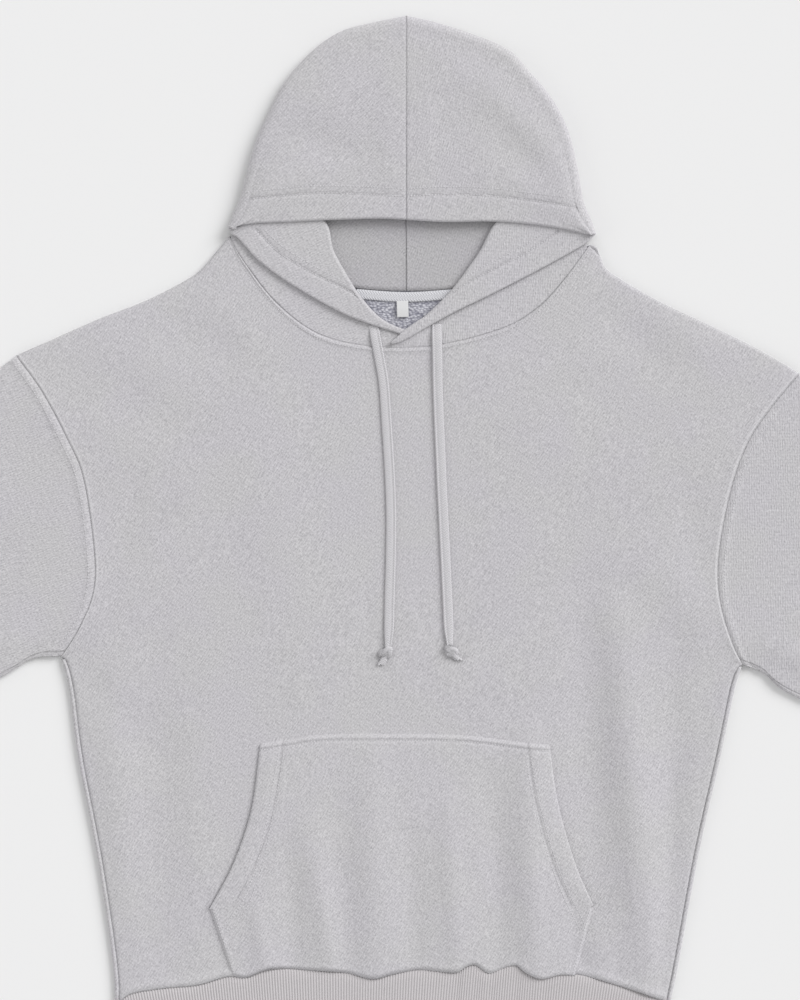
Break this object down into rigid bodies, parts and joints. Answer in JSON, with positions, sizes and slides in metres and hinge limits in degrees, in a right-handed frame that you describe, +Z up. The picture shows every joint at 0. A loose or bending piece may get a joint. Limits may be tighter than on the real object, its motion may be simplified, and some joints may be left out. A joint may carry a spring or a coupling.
{
  "type": "pullover hoodie, laid flat",
  "caption": "Oversized pullover hoodie in heavy loopback knit, lying flat front up, with a lined hood, drawcord, kangaroo pocket and ribbed hem and cuffs.",
  "frame": {"origin": "on the surface the garment lies on, under the middle of its box", "axes": "+X to the viewer's right, towards the right-hand cuff as seen, +Y towards the hood, +Z up out of the garment's front"},
  "size_m": [1.5498, 0.994, 0.0154],
  "materials": {
    "loopback_knit": "matte light grey cotton knit with a fine diagonal grain outside and small loops inside",
    "rib_knit": "matte light grey one by one rib knit",
    "neck_trim": "matte off-white woven herringbone tape and plain woven label",
    "drawcord": "matte light grey flat knitted cord"
  },
  "bodies": {
    "root": {"body_back": "loopback_knit", "body_front": "loopback_knit", "sleeve_left": "loopback_knit", "sleeve_right": "loopback_knit", "cuff_left": "rib_knit", "cuff_right": "rib_knit", "hem_rib": "rib_knit", "pocket": "loopback_knit", "hood_left": "loopback_knit", "hood_right": "loopback_knit", "hood_lining_left": "loopback_knit", "hood_lining_right": "loopback_knit", "hood_turn_left": "loopback_knit", "hood_turn_right": "loopback_knit", "neck_tape": "neck_trim", "neck_label": "neck_trim", "drawcord_left": "drawcord", "drawcord_right": "drawcord", "cord_knot_left": "drawcord", "cord_knot_right": "drawcord"}
  },
  "joints": []
}
